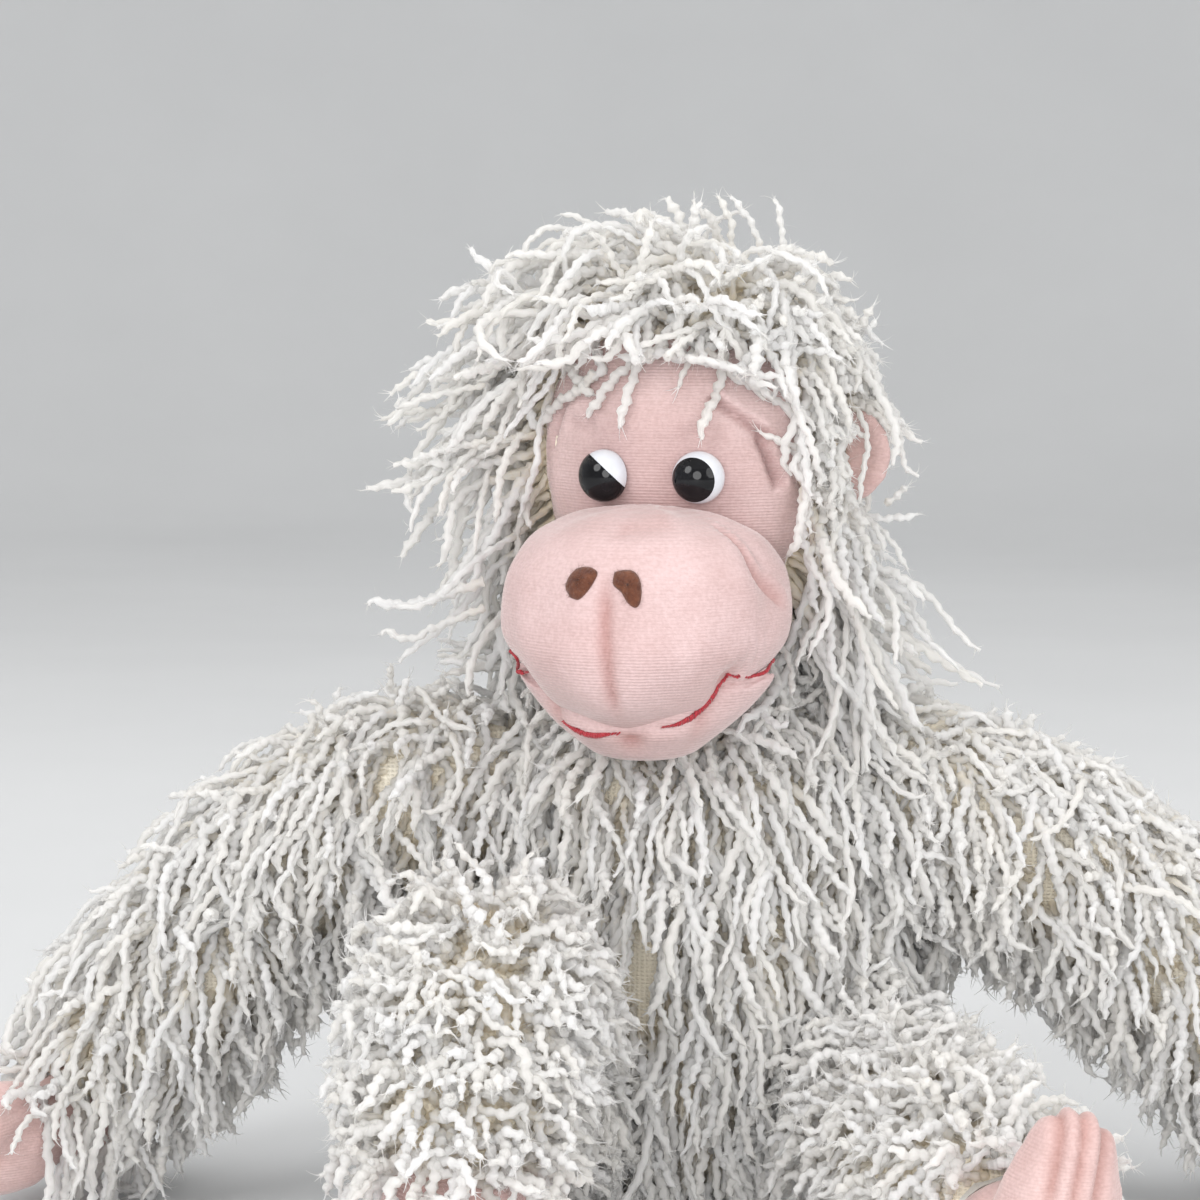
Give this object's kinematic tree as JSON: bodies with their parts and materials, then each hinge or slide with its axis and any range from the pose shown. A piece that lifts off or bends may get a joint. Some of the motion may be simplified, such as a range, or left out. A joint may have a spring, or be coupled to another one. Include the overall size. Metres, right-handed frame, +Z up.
{
  "type": "plush monkey",
  "caption": "Seated long-haired plush monkey with a velour face, hands and feet, plastic safety eyes, and a head and limbs that turn.",
  "frame": {"origin": "on the flat underside of the seat, straight below the axis that the head turns about", "axes": "+Z up, the toy faces -Y and its own right side is -X, so the spread arms lie along X"},
  "size_m": [0.4838, 0.2729, 0.3094],
  "materials": {
    "fur": "long twisted pile, white to cream",
    "velour": "short ribbed velour, pink",
    "stuffing": "polyester fibre fill",
    "pellets": "cotton bag of plastic pellets",
    "felt": "brown felt",
    "thread": "red embroidery thread",
    "eye_white": "glossy white",
    "eye_black": "glossy black",
    "stem_plastic": "plain moulded, inside the head"
  },
  "bodies": {
    "torso": {"body_cover": "fur", "body_stuffing": "stuffing", "bean_bag": "pellets"},
    "neck": {"neck_stuffing": "stuffing"},
    "head": {"head_cover": "fur", "face_panel": "velour", "head_stuffing": "stuffing", "muzzle_cover": "velour", "muzzle_stuffing": "stuffing", "jaw_cover": "velour", "jaw_stuffing": "stuffing", "mouth_stitch_corner_right": "thread", "mouth_stitch_right": "thread", "mouth_stitch_left": "thread", "mouth_stitch_corner_left": "thread", "eye_white_right": "eye_white", "eye_pupil_right": "eye_black", "eye_stem_right": "stem_plastic", "eye_washer_right": "stem_plastic", "nostril_right": "felt", "ear_right": "velour", "eye_white_left": "eye_white", "eye_pupil_left": "eye_black", "eye_stem_left": "stem_plastic", "eye_washer_left": "stem_plastic", "nostril_left": "felt", "ear_left": "velour"},
    "arm_right": {"arm_cover_right": "fur", "arm_stuffing_right": "stuffing"},
    "hand_right": {"hand_cover_right": "velour", "hand_stuffing_right": "stuffing"},
    "leg_right": {"leg_cover_right": "fur", "leg_stuffing_right": "stuffing"},
    "foot_right": {"foot_cover_right": "velour", "foot_stuffing_right": "stuffing"},
    "arm_left": {"arm_cover_left": "fur", "arm_stuffing_left": "stuffing"},
    "hand_left": {"hand_cover_left": "velour", "hand_stuffing_left": "stuffing"},
    "leg_left": {"leg_cover_left": "fur", "leg_stuffing_left": "stuffing"},
    "foot_left": {"foot_cover_left": "velour", "foot_stuffing_left": "stuffing"}
  },
  "joints": [
    {"name": "neck_turn", "type": "hinge", "parent": "torso", "child": "neck", "pos_m": [0, 0, 0.174], "axis": [0, 0, 1], "range_deg": [-14, 46]},
    {"name": "neck_nod", "type": "hinge", "parent": "neck", "child": "head", "pos_m": [0, 0, 0.174], "axis": [-0.9613, 0.2756, 0], "range_deg": [-4, 20]},
    {"name": "shoulder_right", "type": "hinge", "parent": "torso", "child": "arm_right", "pos_m": [-0.058, 0.004, 0.13], "axis": [-1, 0, 0], "range_deg": [-40, 130]},
    {"name": "wrist_right", "type": "hinge", "parent": "arm_right", "child": "hand_right", "pos_m": [-0.196, -0.018, 0.03], "axis": [-0.6561, 0.7547, 0], "range_deg": [0, 20]},
    {"name": "shoulder_left", "type": "hinge", "parent": "torso", "child": "arm_left", "pos_m": [0.058, 0.004, 0.13], "axis": [-1, 0, 0], "range_deg": [-40, 130]},
    {"name": "wrist_left", "type": "hinge", "parent": "arm_left", "child": "hand_left", "pos_m": [0.196, -0.018, 0.03], "axis": [-0.6561, -0.7547, 0], "range_deg": [0, 20]},
    {"name": "hip_right", "type": "hinge", "parent": "torso", "child": "leg_right", "pos_m": [-0.058, -0.046, 0.0335], "axis": [-1, 0, 0], "range_deg": [0, 12]},
    {"name": "hip_left", "type": "hinge", "parent": "torso", "child": "leg_left", "pos_m": [0.058, -0.046, 0.0335], "axis": [-1, 0, 0], "range_deg": [0, 40]},
    {"name": "ankle_right", "type": "hinge", "parent": "leg_right", "child": "foot_right", "pos_m": [-0.067, -0.136, 0.031], "axis": [-1, 0, 0], "range_deg": [0, 20]},
    {"name": "ankle_left", "type": "hinge", "parent": "leg_left", "child": "foot_left", "pos_m": [0.09, -0.164, 0.029], "axis": [-1, 0, 0], "range_deg": [-20, 20]}
  ]
}
